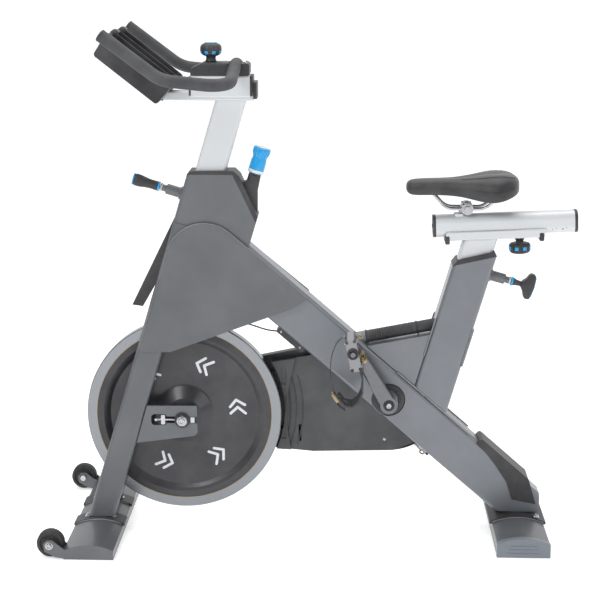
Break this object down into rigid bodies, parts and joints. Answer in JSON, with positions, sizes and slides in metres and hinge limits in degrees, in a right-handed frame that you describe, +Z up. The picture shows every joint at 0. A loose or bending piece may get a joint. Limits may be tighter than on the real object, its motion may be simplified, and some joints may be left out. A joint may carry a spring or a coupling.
{
  "type": "exercise bike",
  "caption": "Indoor cycling bike with a front flywheel, belt drive, adjustable handlebar and saddle, toe-cage pedals and transport wheels.",
  "frame": {"origin": "middle of the footprint, on the floor", "axes": "+Z up, +X towards the rear of the bike, +Y towards the rider's right (belt side)"},
  "size_m": [1.275, 0.526, 1.2286],
  "materials": {
    "frame_dark": "satin dark grey powder coat",
    "frame_light": "satin blue-grey metallic paint",
    "silver_paint": "fine silver metallic paint",
    "chrome_rim": "polished",
    "disc_black": "satin black",
    "steel": "bright zinc plated",
    "crank_metal": "polished dark plating",
    "black_plastic": "fine grained",
    "guard_plastic": "fine grained dark grey",
    "blue_plastic": "semi gloss blue",
    "cap_plastic": "blue-grey moulded",
    "grip_foam": "textured dip coating",
    "wheel_rubber": "moulded",
    "belt_rubber": "ribbed",
    "saddle_skin": "embossed synthetic cover",
    "pedal_alloy": "dark satin"
  },
  "bodies": {
    "frame": {"main_beam": "frame_light", "head_column": "frame_dark", "leg_left": "frame_dark", "leg_right": "frame_dark", "side_panel_left": "frame_dark", "side_panel_right": "frame_dark", "seat_column": "frame_light", "seat_gusset": "frame_light", "carry_handle": "grip_foam", "front_stabiliser": "frame_dark", "rear_stabiliser": "frame_dark", "stabiliser_saddles": "frame_dark", "wheel_brackets": "frame_dark", "rear_end_caps": "cap_plastic", "rear_cover": "black_plastic", "column_cap": "black_plastic", "mudguard": "black_plastic", "seat_collar": "black_plastic", "dropout_left": "frame_dark", "dropout_right": "frame_dark", "flywheel_axle": "steel", "drive_belt": "belt_rubber", "bracket_shell": "frame_light", "inner_guard": "guard_plastic", "outer_guard": "guard_plastic", "sensor_unit": "black_plastic", "sensor_cable": "wheel_rubber", "plunger_bosses": "frame_dark"},
    "flywheel": {"flywheel_rim": "chrome_rim", "flywheel_disc": "disc_black", "flywheel_pulley": "steel"},
    "cranks": {"crank_spindle": "steel", "crank_pulley": "black_plastic", "crank_left": "crank_metal", "crank_right": "crank_metal"},
    "left_pedal": {"pedal_left": "pedal_alloy", "toe_cage_left": "black_plastic"},
    "right_pedal": {"pedal_right": "pedal_alloy", "toe_cage_right": "black_plastic"},
    "brake": {"brake_rod": "steel"},
    "tension_knob": {"resistance_knob": "blue_plastic"},
    "magnets": {"magnet_yoke": "steel"},
    "front_post": {"handlebar_post": "silver_paint", "rail_caps": "black_plastic"},
    "bars": {"handlebar_slider": "silver_paint", "handlebar_clamp": "black_plastic", "handlebar": "grip_foam", "bottle_tray": "black_plastic"},
    "bar_knob": {"handlebar_knob": "black_plastic"},
    "rear_post": {"seat_post": "silver_paint"},
    "seat_carriage": {"seat_slider": "silver_paint", "slider_caps": "black_plastic", "saddle_post": "silver_paint"},
    "seat": {"saddle_clamp": "steel", "saddle": "saddle_skin"},
    "slide_knob": {"seat_knob": "black_plastic"},
    "front_lock": {"front_plunger": "black_plastic"},
    "rear_lock": {"rear_plunger": "black_plastic"},
    "left_wheel": {"wheel_left": "wheel_rubber"},
    "right_wheel": {"wheel_right": "wheel_rubber"}
  },
  "joints": [
    {"name": "flywheel_spin", "type": "hinge", "parent": "frame", "child": "flywheel", "pos_m": [-0.304, 0, 0.285], "axis": [0, 1, 0], "continuous": true},
    {"name": "crank_spin", "type": "hinge", "parent": "frame", "child": "cranks", "pos_m": [0.198, 0, 0.334], "axis": [0, 1, 0], "continuous": true},
    {"name": "left_pedal_spin", "type": "hinge", "parent": "cranks", "child": "left_pedal", "pos_m": [0.10971, 0, 0.48509], "axis": [0, 1, 0], "continuous": true},
    {"name": "right_pedal_spin", "type": "hinge", "parent": "cranks", "child": "right_pedal", "pos_m": [0.28629, 0, 0.18291], "axis": [0, 1, 0], "continuous": true},
    {"name": "brake_press", "type": "slide", "parent": "frame", "child": "brake", "axis": [-0.2823, 0, -0.9593], "range_m": [0, 0.0035], "stiffness_N_per_m": 3000, "springref_m": -0.003},
    {"name": "tension_turn", "type": "hinge", "parent": "brake", "child": "tension_knob", "pos_m": [-0.12754, 0, 0.88457], "axis": [0.2823, 0, 0.9593], "range_deg": [-360, 360]},
    {"name": "magnet_lift", "type": "slide", "parent": "frame", "child": "magnets", "axis": [0.2823, 0, 0.9593], "range_m": [-0.008, 0.008]},
    {"name": "handlebar_height", "type": "slide", "parent": "frame", "child": "front_post", "axis": [0.2823, 0, 0.9593], "range_m": [-0.045, 0.1]},
    {"name": "handlebar_fore_aft", "type": "slide", "parent": "front_post", "child": "bars", "axis": [1, 0, 0], "range_m": [-0.05, 0]},
    {"name": "bar_knob_turn", "type": "hinge", "parent": "bars", "child": "bar_knob", "pos_m": [-0.231, 0, 1.117], "axis": [0, 0, 1], "range_deg": [-180, 180]},
    {"name": "seat_height", "type": "slide", "parent": "frame", "child": "rear_post", "axis": [0.2723, 0, 0.9622], "range_m": [0, 0.15]},
    {"name": "seat_fore_aft", "type": "slide", "parent": "rear_post", "child": "seat_carriage", "axis": [0.9988, 0, 0.048], "range_m": [-0.06, 0.02]},
    {"name": "saddle_tilt", "type": "hinge", "parent": "seat_carriage", "child": "seat", "pos_m": [0.378, 0, 0.805], "axis": [0, 1, 0], "range_deg": [-10, 10]},
    {"name": "seat_knob_turn", "type": "hinge", "parent": "rear_post", "child": "slide_knob", "pos_m": [0.50673, 0, 0.72362], "axis": [-0.048, 0, 0.9988], "range_deg": [-180, 180]},
    {"name": "front_lock_pull", "type": "slide", "parent": "frame", "child": "front_lock", "axis": [-0.9593, 0, 0.2823], "range_m": [0, 0.012], "stiffness_N_per_m": 800, "springref_m": -0.01},
    {"name": "rear_lock_pull", "type": "slide", "parent": "frame", "child": "rear_lock", "axis": [0.9622, 0, -0.2723], "range_m": [0, 0.012], "stiffness_N_per_m": 800, "springref_m": -0.01},
    {"name": "left_wheel_spin", "type": "hinge", "parent": "frame", "child": "left_wheel", "pos_m": [-0.601, -0.236, 0.033], "axis": [0, 1, 0], "continuous": true},
    {"name": "right_wheel_spin", "type": "hinge", "parent": "frame", "child": "right_wheel", "pos_m": [-0.601, 0.236, 0.033], "axis": [0, 1, 0], "continuous": true}
  ],
  "couplings": [
    {"joint": "crank_spin", "follows": "flywheel_spin", "ratio": 0.25},
    {"joint": "tension_turn", "follows": "magnet_lift", "rad_per_m": 784.61}
  ]
}
